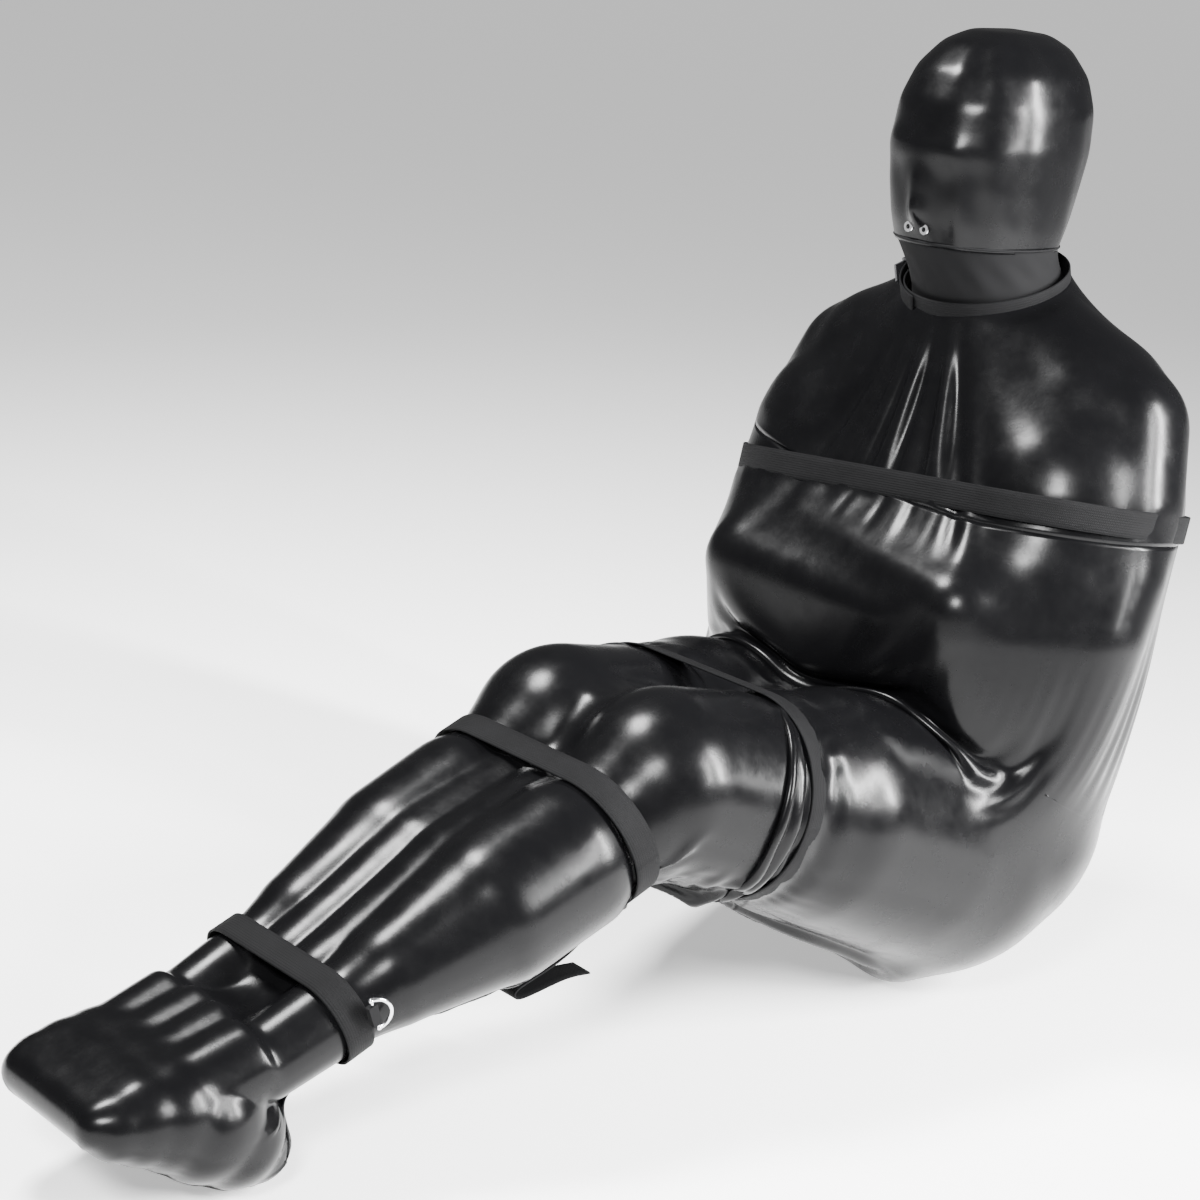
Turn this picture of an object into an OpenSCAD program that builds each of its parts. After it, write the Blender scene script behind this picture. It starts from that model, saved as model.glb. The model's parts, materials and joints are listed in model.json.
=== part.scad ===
// Seated training dummy in a fitted cover with a hood, a foot bag and five cinch straps.
// Millimetres, +Z up. The dummy faces -Y and its left side is +X. The origin is the centre
// of the flat seat, on the floor under the hip axis.

/* [Pose] */
// Lean of the trunk back from upright, in degrees
trunk_lean = 10; // [8:1:12]
// Rise of the thighs from level, in degrees
thigh_rise = 15; // [12:1:18]
// Fall of the shins from level, in degrees
shin_fall = 22; // [20:1:24]
// Pitch of the soles from level, toes up, in degrees
sole_pitch = 21; // [18:1:24]

/* [Body] */
// Height of the hip axis over the floor
hip_height = 158; // [156:1:160]
// Radius of the hip roll about the hip axis
hip_r = 166; // [164:1:168]
// Hip axis to knee axis
thigh_length = 388; // [380:1:400]
// Knee axis to ankle axis
shin_length = 417; // [410:1:425]
// Radius of the knee about its axis
knee_r = 80; // [78:1:82]
// Radius of the ankle about its axis
ankle_r = 34; // [32:1:36]
// Radius of the neck ball about the nod axis
neck_r = 70; // [68:1:71]

/* [Cover] */
// Thickness of the cover and its lining
cover_t = 2.5; // [2:0.5:3]
// Gap between the cover and the filling
cover_gap = 1.5; // [1.5:0.5:2]
// Clearance between parts that turn about one axis
turn_gap = 2; // [1.5:0.5:3]

/* [Straps] */
// Width of the chest, knee and ankle webbing
strap_w = 25; // [24:1:30]
// Width of the thigh webbing
thigh_strap_w = 25; // [24:1:30]
// Width of the collar webbing
collar_w = 30; // [25:1:34]
// Thickness of the webbing
strap_t = 2; // [1.5:0.5:2.5]

/* [Frame] */
// Radius of the hinge pins
pin_r = 5; // [4:0.5:6]
// Running clearance of a pin in its bore
pin_gap = 0.05; // [0.03:0.01:0.09]
// Thickness of the flat links
link_t = 8; // [6:1:8]
// Width of the flat links
link_w = 22; // [18:1:24]
// Outer radius of the spine tube
spine_r = 14; // [12:1:16]

/* [Hidden] */

seg = 28;            // points round a sewn section
curve_fn = 48;       // facets asked of true round parts
hull_fn = 20;        // facets of a hull's spheres
fill_in = cover_t + cover_gap;
mid_gap = 1;         // each leg's filling from the middle plane

cover_colour = [0.05, 0.05, 0.055];
webbing_colour = [0.09, 0.09, 0.095];
fill_colour = [0.82, 0.80, 0.74];
steel_colour = [0.62, 0.63, 0.65];
buckle_colour = [0.13, 0.13, 0.14];

// ---- directions: phi is measured up from straight ahead (-Y), in the middle plane ----
function ahead(phi) = [0, -cos(phi), sin(phi)];
function above(phi) = [0, sin(phi), cos(phi)];
function at(o, phi, s, h = 0, x = 0) = o + ahead(phi) * s + above(phi) * h + [x, 0, 0];

trunk_phi = 90 + trunk_lean;
shin_phi = -shin_fall;
neck_phi = 72;
hip = [0, 0, hip_height];
knee = at(hip, thigh_rise, thigh_length);
ankle = at(knee, shin_phi, shin_length);
neck = [0, 52, 648];

// Sections of the cover along each limb: [distance, half spacing, radius]
thigh_rows = [[200, 82, 108], [250, 76, 98], [300, 70, 90], [350, 65, 84], [388, 62, 80]];
shin_rows = [[95, 62, 66], [125, 62, 69], [160, 62, 71], [200, 61, 68], [260, 58, 55], [330, 55, 38],
    [417, 52, 34]];
knee_cinch = 5;      // the section is this much flatter under the knee strap
// Sections of the trunk: [distance, forward shift, half spacing, radius]
back_h = 108;        // the back lies flat at this height over the trunk's axis
trunk_rows = [[178, 30, 112, 138], [205, 28, 115, 136], [260, 14, 118, 122], [330, 4, 115, 112],
    [390, -4, 110, 101]];
// Sections from the shoulders into the collar: [angle, centre y, centre z, half spacing, radius]
neck_rows = [[92, 68, 566, 92, 88], [84, 64, 588, 62, 80], [76, 60, 607, 24, 76.5], [72, 60, 623.3, 0, 74.8],
    [72, 50.1, 653.7, 0, 74.6]];
// Sections of the hood: [height, centre, half width, half depth]
hood_rows = [[690, 27, 66, 82], [712, 26, 71, 88], [745, 26, 76, 94], [780, 28, 80, 97],
    [815, 30, 78, 95], [845, 32, 68, 84], [868, 34, 50, 64], [882, 35, 26, 36]];
// Sections of a foot: [distance from the ankle, centre height, half height, half width share]
foot_rows = [[-58, -64, 8, 0.55], [-52, -64, 20, 0.8], [-36, -65, 30, 0.96], [8, -66, 32, 1],
    [46, -44, 50, 0.98], [80, -50, 41, 1], [115, -55, 31, 1], [140, -57, 22, 0.94], [152, -58, 9, 0.8]];
foot_half = 52;      // outer half width of one foot's section, before its share
foot_off = 42;       // half spacing of the feet

// ---- lofts ----
// A pair of half circles, half spacing off apart, with radii rx across and rh up
function oval(off, rx, rh) = [for (i = [0 : seg - 1]) let (t = (i + 0.5) * 360 / seg)
    [rx * cos(t) + off * sign(cos(t)), rh * sin(t)]];
function ring(o, phi, s, off, rx, rh, h = 0, x = 0) =
    [for (p = oval(off, rx, rh)) at(o, phi, s, h + p[1], x + p[0])];
// A ring lying on a cylinder of radius r about the hinge axis, shrunk by k towards the middle
function cup_ring(o, phi, r, k, off, rx, rh, h = 0, x = 0) =
    [for (p = oval(off, rx, rh)) let (q = (h + p[1]) * k) at(o, phi, sqrt(r * r - q * q), q, x + p[0] * k)];
function cup_rings(o, phi, r, off, rx, rh, h = 0, x = 0) =
    [for (k = [0.25, 0.5, 0.75, 1]) cup_ring(o, phi, r, k, off, rx, rh, h, x)];
// Rings that close a limb as a round end about the hinge axis
function dome_rings(o, phi, s, r, off, rx, x = 0, last = 80) =
    [for (a = [18 : 15.5 : last]) ring(o, phi, s + r * sin(a), off, rx * sqrt(cos(a)), r * cos(a), 0, x)];

function total(v, i = 0) = i >= len(v) ? [0, 0, 0] : v[i] + total(v, i + 1);
function middle(r) = total(r) / len(r);
function side_faces(n, base = 0, flip = false) = [for (i = [0 : n - 2], j = [0 : seg - 1])
    let (a = base + i * seg + j, b = base + i * seg + (j + 1) % seg, c = b + seg, d = a + seg)
    for (f = [[a, d, c], [a, c, b]]) flip ? [f[2], f[1], f[0]] : f];
function fan(centre, first, flip = false) = [for (j = [0 : seg - 1])
    let (a = first + j, b = first + (j + 1) % seg) flip ? [centre, b, a] : [centre, a, b]];
function flat_list(rings) = [for (r = rings) for (p = r) p];

// A closed solid through a list of rings
module loft(rings) {
    n = len(rings);
    c = n * seg;
    polyhedron(concat(flat_list(rings), [middle(rings[0]), middle(rings[n - 1])]),
        concat(side_faces(n), fan(c, 0), fan(c + 1, (n - 1) * seg, true)));
}

// An open tube between matching outer and inner rings, or one closed at its far end
module shell(outer, inner, closed = false) {
    n = len(outer);
    inn = n * seg;
    caps = 2 * n * seg;
    rim = [for (j = [0 : seg - 1]) let (k = (j + 1) % seg)
        for (f = [[j, k, inn + k], [j, inn + k, inn + j]]) f];
    last = (n - 1) * seg;
    far_rim = [for (j = [0 : seg - 1]) let (a = last + j, b = last + (j + 1) % seg)
        for (f = [[a, inn + b, b], [a, inn + a, inn + b]]) f];
    polyhedron(concat(flat_list(outer), flat_list(inner), [middle(outer[n - 1]), middle(inner[n - 1])]),
        concat(side_faces(n), side_faces(n, inn, true), rim,
            closed ? concat(fan(caps, last, true), fan(caps + 1, inn + last)) : far_rim));
}

// ---- hinge hardware: everything here turns about an axis along X ----
eye_r = link_w / 2;
module along_x(p, x0, r, h, fn = curve_fn) {
    translate([x0, p[1], p[2]]) rotate([0, 90, 0]) cylinder(r = r, h = h, $fn = fn);
}

// The room that a link needs as it swings from angle a0 to a1
function turned(a, r) = r * [-cos(a), sin(a)];
module swing_slot(p, x0, x1, a0, a1, r) {
    side = link_w / 2 + 1.5;
    translate([x0, p[1], p[2]]) rotate([90, 0, 90]) linear_extrude(x1 - x0) {
        circle(r = eye_r + 1.5, $fn = curve_fn);
        polygon(concat([turned(a0 - 90, side), turned(a0, r) + turned(a0 - 90, side)],
            [for (i = [0 : 8]) turned(a0 + (a1 - a0) * i / 8, r)],
            [turned(a1, r) + turned(a1 + 90, side), turned(a1 + 90, side)]));
    }
}

// A flat bar with round ends about a and b, t thick from x0 on
module bar(a, b, x0, t, r) {
    turn = atan2(b[2] - a[2], b[1] - a[1]);
    step = 15;
    translate([x0, 0, 0]) rotate([90, 0, 90]) linear_extrude(t) polygon(concat(
        [for (q = [-90 : step : 90]) [b[1] + r * cos(turn + q), b[2] + r * sin(turn + q)]],
        [for (q = [90 : step : 270]) [a[1] + r * cos(turn + q), a[2] + r * sin(turn + q)]]));
}

module link(a, b, x0) {
    difference() {
        bar(a, b, x0, link_t, eye_r);
        for (p = [a, b]) along_x(p, x0 - 1, pin_r + pin_gap, link_t + 2);
    }
}

// A headed pin with a hex nut: the head side is at x_head, the nut side is towards the middle
head_t = 3;
nut_t = 5;
washer_t = 1.8;
stack_gap = 0.1;     // slack between neighbours on a pin
module hinge_pin(p, x_head, grip) {
    along_x(p, x_head, pin_r + 3, head_t);
    along_x(p, x_head - grip - nut_t - 2, pin_r, grip + nut_t + 2.5);
    difference() {
        along_x(p, x_head - grip - nut_t - 0.3, pin_r + 4, nut_t, 6);
        along_x(p, x_head - grip - nut_t - 1, pin_r - 0.5, nut_t + 2);
    }
}
module washer(p, x0) {
    difference() {
        along_x(p, x0, pin_r + 7, washer_t);
        along_x(p, x0 - 1, pin_r + pin_gap, washer_t + 2);
    }
}
// Link planes on the left side; each child link lies 10 mm further in than its parent
pelvis_x = 82;
thigh_x = 72;
shin_x = 62;
foot_x = 52;
link_step = pelvis_x - thigh_x;
module both_sides() {
    children();
    mirror([1, 0, 0]) children();
}
module pins_at(p, parent_x) {
    both_sides() hinge_pin(p, parent_x + link_t + stack_gap, link_step + link_t + stack_gap);
}
module washers_at(p, parent_x) {
    both_sides() washer(p, parent_x - washer_t - stack_gap);
}

// ---- cam buckles: local X along the webbing, Y across it, Z away from the body ----
cam_pin_z = 7.4;
cam_pin_r = 1.5;
cam_r = 4;
wall_t = 2;
wall_h = 10.5;
plate_t = 1.6;
buckle_len = 30;
module buckle_frame(w) {
    half = w / 2 + 1.5;
    translate([-buckle_len / 2, -half - wall_t, 0.3]) cube([buckle_len, 2 * (half + wall_t), plate_t]);
    for (y = [-half - wall_t, half])
        translate([-buckle_len / 2, y, 0.3]) cube([buckle_len, wall_t, wall_h]);
    translate([0, half + 0.5, cam_pin_z]) rotate([90, 0, 0])
        cylinder(r = cam_pin_r, h = 2 * half + 1, $fn = curve_fn);
    translate([-buckle_len / 2, -half - 0.5, 7]) cube([3, 2 * half + 1, 2.4]);
}
lever_len = 27;
module buckle_lever(w) {
    half = w / 2 + 1;
    difference() {
        union() {
            translate([0, half, cam_pin_z]) rotate([90, 0, 0])
                cylinder(r = cam_r, h = 2 * half, $fn = curve_fn);
            translate([0, -half, cam_pin_z + 0.9]) cube([lever_len, 2 * half, 2.2]);
        }
        translate([0, half + 1, cam_pin_z]) rotate([90, 0, 0])
            cylinder(r = cam_pin_r + pin_gap, h = 2 * half + 2, $fn = curve_fn);
    }
}
module place(xl, yl, zl, o) {
    rows = [for (i = [0 : 2]) [xl[i], yl[i], zl[i], o[i]]];
    multmatrix([rows[0], rows[1], rows[2], [0, 0, 0, 1]]) children();
}
// A buckle under a limb, or on the back of the trunk
module under(o, phi, s, h, x) {
    place([1, 0, 0], ahead(phi), -above(phi), at(o, phi, s, -h, x)) children();
}
module behind(o, phi, s, h, x) {
    place([-1, 0, 0], ahead(phi), above(phi), at(o, phi, s, h, x)) children();
}
module beside(o, phi, s, x) {
    place(-above(phi), ahead(phi), [-1, 0, 0], at(o, phi, s, 0, -x)) children();
}

// ---- values between the rows of a table ----
function column(rows, k) = [for (r = rows) [r[0], r[k]]];
function leg_ring(o, phi, rows, s, add, flat = 0) = let (r = lookup(s, column(rows, 2)) + add)
    ring(o, phi, s, lookup(s, column(rows, 1)), r, r - flat);
// The shin is flatter where the knee strap cinches it
function shin_flat(s) = lookup(s, [[95, knee_cinch], [125, 1], [140, 0]]);
function trunk_ring(s, add) = let (r = lookup(s, column(trunk_rows, 3)) + add)
    ring(hip, trunk_phi, s, lookup(s, column(trunk_rows, 2)), r, r, -lookup(s, column(trunk_rows, 1)));

// ---- trunk ----
waist_off = 98;
waist_rx = 116;
waist_rh = 110;      // low enough at the front to leave the thighs room to fold up
function waist_ring(add) =
    cup_ring(hip, trunk_phi, hip_r + turn_gap, 1, waist_off, waist_rx + add, waist_rh + add);

function neck_ring(r, add) = ring([0, r[1], r[2]], r[0], 0, r[3], r[4] + add, r[4] + add);
function torso_rings(add) = concat([waist_ring(add)], [for (r = trunk_rows) trunk_ring(r[0], add)],
    [for (r = neck_rows) neck_ring(r, add)]);
module torso_cover() {
    color(cover_colour) shell(torso_rings(0), torso_rings(-cover_t));
}

// The trunk's own filling leaves the front and the sides to the folded arms
module torso_fill() {
    rows = [[175, 18, 52, 86], [230, 16, 54, 83], [300, 16, 58, 80], [370, 20, 58, 70], [394, 20, 54, 60]];
    color(fill_colour) loft(concat(
        cup_rings(hip, trunk_phi, hip_r + turn_gap, 50, 84, 84, 18),
        [for (r = rows) ring(hip, trunk_phi, r[0], r[2], r[3], r[3], r[1])]));
}

module capsule(a, b, ra, rb) {
    hull() {
        translate(a) sphere(r = ra, $fn = hull_fn);
        translate(b) sphere(r = rb, $fn = hull_fn);
    }
}
// An arm folded across the front, as rows of [distance, height, x, radius] from the shoulder
// to the wrist. The left forearm lies over the right one.
right_arm = [[368, -2, 170, 36], [208, -26, 178, 34], [190, -116, 96, 33], [185, -116, -60, 24]];
left_arm = [[368, -2, 170, 36], [216, -26, 178, 34], [236, -106, 100, 31], [260, -98, -60, 26]];
module arm_fill(side, rows) {
    joints = [for (r = rows) at(hip, trunk_phi, r[0], r[1], side * r[2])];
    color(fill_colour) for (i = [0 : 2]) capsule(joints[i], joints[i + 1], rows[i][3], rows[i + 1][3]);
}

// ---- hips ----
hip_half = 205;
function roll_profile(r, half) = [[0, -half], [r - 66, -half], [r - 26, -half + 22], [r - 4, -half + 62],
    [r, -half + 100], [r, half - 100], [r - 4, half - 62], [r - 26, half - 22], [r - 66, half], [0, half]];
module hip_roll(r, half) {
    translate(hip) rotate([0, 90, 0]) rotate_extrude($fn = 96) polygon(roll_profile(r, half));
}
module floor_cut(z) {
    translate([-400, -400, z - 400]) cube([800, 800, 400]);
}
hip_swing = [thigh_rise - 72, thigh_rise + 12]; // angles that the thigh links sweep
module link_room(p, x0, swing, r) {
    for (s = [-1, 1]) swing_slot(p, min(s * (x0 - 2.5), s * (x0 + link_t + 3)),
        max(s * (x0 - 2.5), s * (x0 + link_t + 3)), swing[0], swing[1], r);
}
module hip_fill() {
    color(fill_colour) difference() {
        hip_roll(hip_r - fill_in, hip_half - fill_in);
        floor_cut(fill_in);
        link_room(hip, thigh_x, hip_swing, hip_r + 10);
        // The pelvis frame and its spine tube sit in a clean pocket
        translate([-98, -34, hip_height - 34]) cube([196, 86, 240]);
    }
}
module seat_cover() {
    color(cover_colour) difference() {
        hip_roll(hip_r, hip_half);
        difference() {
            hip_roll(hip_r - cover_t, hip_half - cover_t);
            floor_cut(cover_t);
        }
        floor_cut(0);
        link_room(hip, thigh_x, hip_swing, hip_r + 10);
        // The waist is open to the trunk's filling and frame
        place([1, 0, 0], -above(trunk_phi), ahead(trunk_phi), hip)
            translate([-100, -52, 60]) cube([200, 104, 140]);
    }
}

// ---- inner frame of the trunk ----
module pelvis_frame() {
    color(steel_colour) difference() {
        union() {
            both_sides() bar(hip, at(hip, trunk_phi, 46), pelvis_x, link_t, eye_r);
            place([1, 0, 0], -above(trunk_phi), ahead(trunk_phi), at(hip, trunk_phi, 42, 0, 0))
                translate([2 - pelvis_x - link_t, -9, 0]) cube([2 * (pelvis_x + link_t) - 4, 18, 8]);
        }
        both_sides() along_x(hip, pelvis_x - 1, pin_r + pin_gap, link_t + 2);
    }
}
module along(o, phi, s0, s1, r, fn = curve_fn) {
    place([1, 0, 0], -above(phi), ahead(phi), at(o, phi, s0)) cylinder(r = r, h = s1 - s0, $fn = fn);
}
socket_low = -104;
socket_high = -58;
post_r = 10;
module spine_tube() {
    color(steel_colour) difference() {
        union() {
            along(hip, trunk_phi, 50, 398, spine_r);
            along(neck, neck_phi, socket_low, socket_high, spine_r + 3);
        }
        along(hip, trunk_phi, 49, 380, spine_r - 2.5);
        along(neck, neck_phi, socket_low + 6, socket_high + 1, post_r + pin_gap);
    }
}
shoulder_s = 372;
module shoulder_bar() {
    p = at(hip, trunk_phi, shoulder_s, spine_r + 9.5);
    color(steel_colour) {
        along_x(p, -112, 9, 224);
        place([1, 0, 0], -above(trunk_phi), ahead(trunk_phi), at(hip, trunk_phi, shoulder_s - 13, 0))
            difference() {
                translate([0, 0, 0]) cylinder(r = spine_r + 5, h = 26, $fn = curve_fn);
                translate([0, 0, -1]) cylinder(r = spine_r, h = 28, $fn = curve_fn);
            }
    }
}

// ---- neck and head ----
module neck_post() {
    color(steel_colour) {
        along(neck, neck_phi, socket_low + 8, -26, post_r);
        place([1, 0, 0], -above(neck_phi), ahead(neck_phi), at(neck, neck_phi, -30))
            translate([-16, -11, 0]) cube([32, 22, 8]);
        difference() {
            both_sides() bar(at(neck, neck_phi, -18), neck, 10, 7, 10);
            along_x(neck, -20, pin_r + pin_gap, 40);
        }
    }
}
module nod_pin() {
    color(steel_colour) {
        along_x(neck, -17, pin_r, 34);
        along_x(neck, 17, pin_r + 3, 3);
        along_x(neck, -20, pin_r + 3, 3);
    }
}
module head_lug() {
    top = [0, 36, 742];
    color(steel_colour) difference() {
        union() {
            bar(neck, top, -9.7, 19.4, 11);
            translate([0, top[1], top[2] - 4]) cylinder(r = 34, h = 6, $fn = curve_fn);
        }
        along_x(neck, -20, pin_r + pin_gap, 40);
    }
}
function hood_ring(r, add) = ring([0, 0, r[0]], 90, 0, 0, r[2] + add, r[3] + add, r[1]);
function scalp(add) = [for (r = hood_rows) hood_ring(r, add)];
module head_fill() {
    low = [for (s = [34, 42]) ring(neck, neck_phi, s, 0, 52, 52)];
    color(fill_colour) difference() {
        loft(concat(low, [for (r = scalp(-fill_in)) r]));
        // Room for the lug and the fork as the head nods
        translate([-19, 0, 600]) cube([38, 96, 160]);
        translate([0, 36, 730]) cylinder(r = 37, h = 18, $fn = curve_fn);
    }
}
eyelet_x = 9;
eyelet_z = 705;
eyelet_y = -60;
module hood_cover() {
    color(cover_colour) difference() {
        shell(scalp(0), scalp(-cover_t), true);
        both_sides() translate([eyelet_x, eyelet_y - 10, eyelet_z]) rotate([-90, 0, 0])
            cylinder(r = 3.2, h = 20, $fn = curve_fn);
    }
}
// The chin panel runs from the mouth seam down to a ball about the nod axis
function ball_ring(a, add) = let (r = (neck_r + add) * cos(a))
    ring(neck, neck_phi, -neck_r * sin(a), 0, r, r);
function chin_rings(add) = concat(
    [for (a = [50, 30, 13, 0]) ball_ring(a, add)],
    [ring(neck, neck_phi, 8, 0, neck_r - 1.5 + add, neck_r - 1.5 + add)],
    [hood_ring([689.8, 27, 66, 82], add)]);
module hood_chin_panel() {
    color(cover_colour) shell(chin_rings(0), chin_rings(-cover_t));
}
module nose_eyelets() {
    color(steel_colour) both_sides() translate([eyelet_x, eyelet_y, eyelet_z]) rotate([-90, 0, 0])
        rotate_extrude($fn = curve_fn)
            polygon([[2.2, -1.6], [4.6, -1.6], [5, -1.1], [4.8, -0.7], [3.1, -0.5], [3.1, 3.4], [2.2, 3.4]]);
}

// ---- legs ----
module thigh_room() { link_room(knee, shin_x, [shin_phi - 20, shin_phi + 37], knee_r + 14); }
thigh_start = [92, 104, 90];
module thigh_cover() {
    function start(add) = cup_ring(hip, thigh_rise, hip_r + turn_gap, 1, thigh_start[0],
        thigh_start[1] + add, thigh_start[2] + add);
    function rings(add) = concat([start(add)],
        [for (r = thigh_rows) leg_ring(hip, thigh_rise, thigh_rows, r[0], add)],
        dome_rings(knee, thigh_rise, 0, knee_r + add, 62, knee_r + add));
    color(cover_colour) difference() {
        shell(rings(0), rings(-cover_t), true);
        thigh_room();
    }
}
// One leg's filling spans from the middle plane to the cover
function leg_width(off, r) = (off + r - fill_in + mid_gap) / 2;
function leg_half(off, r) = (off + r - fill_in - mid_gap) / 2;
fill_flat = 0.95;    // the filling's height against the cover's, to stay clear of it
function one_leg_ring(o, phi, r, flat, side) = ring(o, phi, r[0], 0, leg_half(r[1], r[2]),
    (r[2] - flat - fill_in) * fill_flat, 0, side * leg_width(r[1], r[2]));
module thigh_fill(side) {
    r0 = thigh_start[1];
    w0 = thigh_start[0];
    h0 = (thigh_start[2] - fill_in) * fill_flat;
    color(fill_colour) difference() {
        loft(concat(
            cup_rings(hip, thigh_rise, hip_r + turn_gap, 0, leg_half(w0, r0), h0, 0,
                side * leg_width(w0, r0)),
            [for (r = thigh_rows) one_leg_ring(hip, thigh_rise, r, 0, side)],
            dome_rings(knee, thigh_rise, 0, (knee_r - fill_in) * fill_flat, 0, leg_half(62, knee_r),
                side * leg_width(62, knee_r))));
        thigh_room();
    }
}
shin_start = [62, 66, 61];
module shin_room() { link_room(ankle, foot_x, [sole_pitch - 116, sole_pitch - 64], ankle_r + 12); }
// The thigh's underside when the knee is bent as far as it goes; the shin is trimmed to it
knee_fold = 20;
module fold_room() {
    turn = thigh_rise - 90 + knee_fold;
    place([1, 0, 0], ahead(turn), above(turn), knee) translate([-200, -120, -200])
        cube([400, 120 + knee_r + 6, 200]);
}
module shin_cover() {
    function start(add) = cup_ring(knee, shin_phi, knee_r + turn_gap, 1, shin_start[0],
        shin_start[1] + add, shin_start[2] + add);
    function rings(add) = concat([start(add)],
        [for (r = shin_rows) leg_ring(knee, shin_phi, shin_rows, r[0], add, shin_flat(r[0]))],
        dome_rings(ankle, shin_phi, 0, ankle_r + add, 52, ankle_r + add));
    color(cover_colour) difference() {
        shell(rings(0), rings(-cover_t), true);
        shin_room();
        fold_room();
    }
}
module shin_fill(side) {
    color(fill_colour) difference() {
        loft(concat(
            cup_rings(knee, shin_phi, knee_r + turn_gap, 0, leg_half(62, 66),
                (shin_start[2] - fill_in) * fill_flat, 0, side * leg_width(62, 66)),
            [for (r = shin_rows) one_leg_ring(knee, shin_phi, r, shin_flat(r[0]), side)],
            dome_rings(ankle, shin_phi, 0, (ankle_r - fill_in) * fill_flat, 0, leg_half(52, ankle_r),
                side * leg_width(52, ankle_r))));
        shin_room();
        fold_room();
    }
}

// ---- feet ----
function foot_ring(r, reach, add) = ring(ankle, sole_pitch, r[0] * reach, foot_off,
    (foot_half + add) * r[3], r[2] + add, r[1]);
// The room above the heel where the ankle turns
module ankle_room() {
    place([1, 0, 0], ahead(sole_pitch), above(sole_pitch), ankle) {
        translate([-120, -90, -ankle_r - turn_gap]) cube([240, 90 + ankle_r + turn_gap, 120]);
    }
}
foot_heel = at(ankle, sole_pitch, 2, -50);
module foot_cover() {
    color(cover_colour) difference() {
        loft([for (r = foot_rows) foot_ring(r, 1, 0)]);
        loft([for (r = foot_rows) foot_ring(r, 0.955, -cover_t)]);
        ankle_room();
        floor_cut(0);
        both_sides() bar(ankle, foot_heel, foot_x - 1, link_t + 2, 11);
    }
}
module foot_fill(side) {
    inside = foot_off + foot_half - fill_in;
    color(fill_colour) difference() {
        loft([for (r = foot_rows) ring(ankle, sole_pitch, r[0] * 0.92, 0,
            (inside / 2 - mid_gap) * r[3] * 0.97, max(r[2] - fill_in - 1, 3), r[1],
            side * (inside / 2 + 1))]);
        ankle_room();
        floor_cut(fill_in);
    }
}
module foot_plate(side) {
    x0 = side > 0 ? foot_x : -foot_x - link_t;
    color(steel_colour) difference() {
        union() {
            bar(ankle, foot_heel, x0, link_t, 10);
            place([1, 0, 0], ahead(sole_pitch), above(sole_pitch),
                at(ankle, sole_pitch, -24, -62, x0 + link_t / 2))
                translate([-16, 0, 0]) cube([32, 128, 6]);
        }
        along_x(ankle, x0 - 1, pin_r + pin_gap, link_t + 2);
    }
}

// ---- straps ----
strap_clear = 0.6;
module leg_strap(o, phi, rows, s, w, flat = 0) {
    function rings(add) = [for (q = [s - w / 2, s, s + w / 2]) leg_ring(o, phi, rows, q, add, flat)];
    color(webbing_colour) shell(rings(strap_clear + strap_t), rings(strap_clear));
}
chest_s = 300;
chest_tilt = 0.09;   // the strap climbs towards the left by this much of its run
chest_clear = 1.5;
// Each point of the strap takes the trunk's section at its own distance along the trunk
function tilted_point(s, t, add) =
    let (x0 = lookup(s, column(trunk_rows, 3)) * cos(t) + lookup(s, column(trunk_rows, 2)) * sign(cos(t)),
        q = s + chest_tilt * x0, r = lookup(q, column(trunk_rows, 3)) + add)
    at(hip, trunk_phi, q, r * sin(t) - lookup(q, column(trunk_rows, 1)),
        r * cos(t) + lookup(q, column(trunk_rows, 2)) * sign(cos(t)));
function tilted_ring(s, add) = [for (i = [0 : seg - 1]) tilted_point(s, (i + 0.5) * 360 / seg, add)];
module chest_strap() {
    function rings(add) = [for (q = [-strap_w / 2, 0, strap_w / 2]) tilted_ring(chest_s + q, add)];
    color(webbing_colour) shell(rings(chest_clear + strap_t), rings(chest_clear));
}
thigh_strap_s = 296;
knee_strap_s = 80;
ankle_strap_s = 350;
collar_r = 76;
module collar_strap() {
    function rings(add) = [for (s = [-collar_w / 2, 0, collar_w / 2])
        ring(neck, neck_phi, s, 0, collar_r + add, collar_r + add)];
    color(webbing_colour) shell(rings(strap_t), rings(0));
}
function strap_h(rows, s, w) = lookup(s, column(rows, 2)) + strap_clear + strap_t
    + abs(lookup(s + w / 2, column(rows, 2)) - lookup(s - w / 2, column(rows, 2))) / 2;
thigh_h = strap_h(thigh_rows, thigh_strap_s, thigh_strap_w) + 0.3;
knee_h = strap_h(shin_rows, knee_strap_s, strap_w) + 0.3 - knee_cinch;
ankle_h = strap_h(shin_rows, ankle_strap_s, strap_w) + 0.3;
chest_h = back_h + chest_clear + strap_t - 0.4;
chest_buckle_x = 62;

module chest_at() {
    behind(hip, trunk_phi, chest_s + chest_tilt * chest_buckle_x, chest_h, chest_buckle_x) children();
}
module collar_at() { beside(neck, neck_phi, 0, collar_r + strap_t + 0.3) children(); }
module thigh_at() { under(hip, thigh_rise, thigh_strap_s, thigh_h, -20) children(); }
module knee_at() { under(knee, shin_phi, knee_strap_s, knee_h, 2) children(); }
module ankle_at() { under(knee, shin_phi, ankle_strap_s, ankle_h, -12) children(); }

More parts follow.
